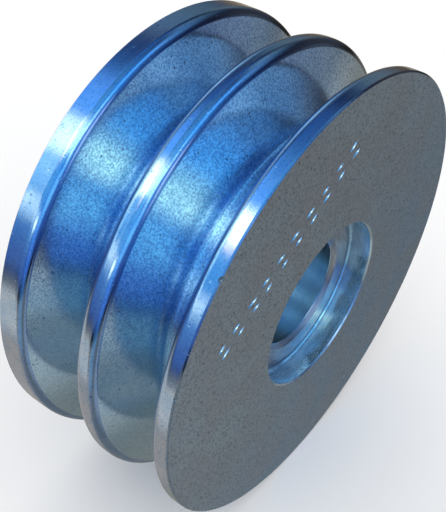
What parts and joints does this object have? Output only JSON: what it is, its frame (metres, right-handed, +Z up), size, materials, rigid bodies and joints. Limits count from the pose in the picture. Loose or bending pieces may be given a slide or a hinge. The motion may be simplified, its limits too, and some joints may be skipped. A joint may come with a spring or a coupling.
{
  "type": "v belt pulley",
  "caption": "Steel double-groove V belt pulley with a flat front face, a recessed nut seat and a pressed-in hub sleeve with a plain shaft bore.",
  "frame": {"origin": "on the axis of rotation, half way between the front and rear faces", "axes": "+Y along the axis of rotation, from the front face to the rear face, so the recessed front face looks along -Y; +Z is up with the shaft horizontal; +X is to the right when the front face is looked at"},
  "size_m": [0.09, 0.0384, 0.09],
  "materials": {
    "blue_zinc": "blue bright zinc plate over turned steel, satin with fine pits",
    "sleeve_steel": "duller grey-blue zinc plate over machined steel"
  },
  "bodies": {
    "root": {"pulley_body": "blue_zinc", "hub_sleeve": "sleeve_steel"}
  },
  "joints": []
}
